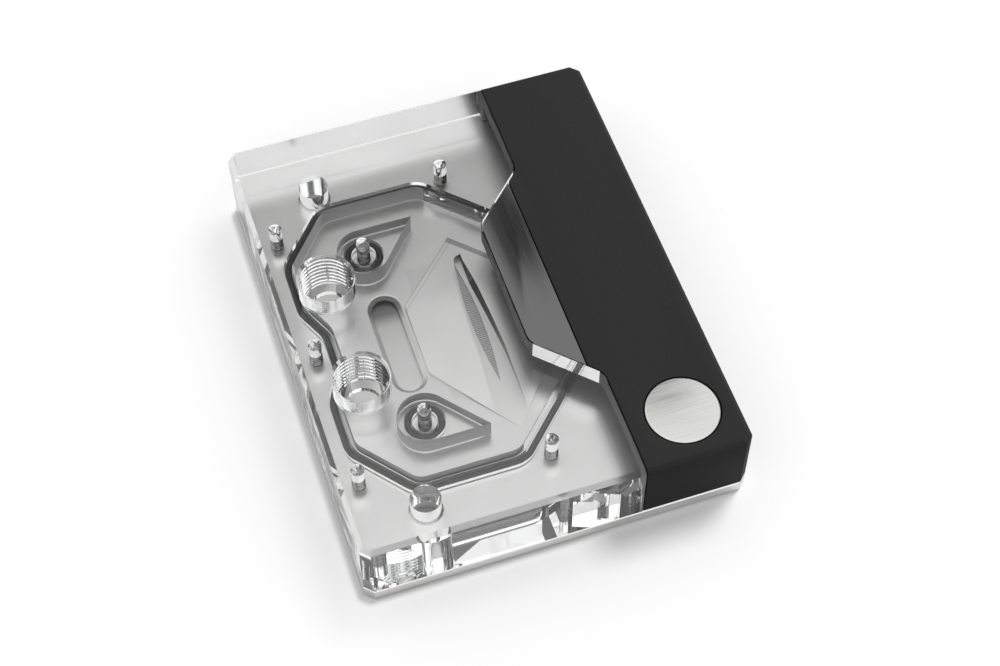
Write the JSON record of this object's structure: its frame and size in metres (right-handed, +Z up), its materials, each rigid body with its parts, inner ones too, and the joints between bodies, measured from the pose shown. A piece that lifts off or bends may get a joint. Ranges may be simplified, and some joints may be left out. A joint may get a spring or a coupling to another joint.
{
  "type": "cpu water block",
  "caption": "Clear-topped liquid cooling block on a nickel-plated finned cold plate, with two threaded ports, a sealed flow chamber and a dark metal side cover.",
  "frame": {"origin": "centre of the underside of the contact land, on the surface the block rests on", "axes": "+Z up, away from the processor; +Y along the block's long side; +X from the ports towards the side cover"},
  "size_m": [0.0896, 0.115, 0.0212],
  "materials": {
    "clear_acrylic": "polished clear acrylic",
    "nickel": "satin nickel plating",
    "steel_sheet": "rolled stainless sheet",
    "rubber": "matt black",
    "black_metal": "black anodised, fine satin",
    "dark_trim": "dark satin",
    "brushed_disc": "linear brushed",
    "screw_steel": "dark machined",
    "board": "solder mask",
    "led": "milky lens",
    "plug": "moulded"
  },
  "bodies": {
    "root": {"acrylic_top": "clear_acrylic", "cold_plate": "nickel", "jet_plate": "steel_sheet", "flow_insert": "nickel", "main_o_ring": "rubber", "screw_o_ring_rear": "rubber", "screw_o_ring_front": "rubber", "side_cover": "black_metal", "trim_plate": "dark_trim", "cover_disc": "brushed_disc", "led_board": "board", "led_connector": "plug", "cable_grommet": "rubber", "plate_screw_1": "screw_steel", "plate_screw_2": "screw_steel", "plate_screw_3": "screw_steel", "plate_screw_4": "screw_steel", "plate_screw_5": "screw_steel", "plate_screw_6": "screw_steel", "plate_screw_7": "screw_steel", "wet_screw_rear": "screw_steel", "wet_screw_front": "screw_steel", "cover_screw_1": "screw_steel", "cover_screw_2": "screw_steel", "cover_screw_3": "screw_steel", "led_1": "led", "led_2": "led", "led_3": "led", "led_4": "led", "led_5": "led", "led_6": "led", "board_screw_1": "screw_steel", "board_screw_2": "screw_steel"}
  },
  "joints": []
}
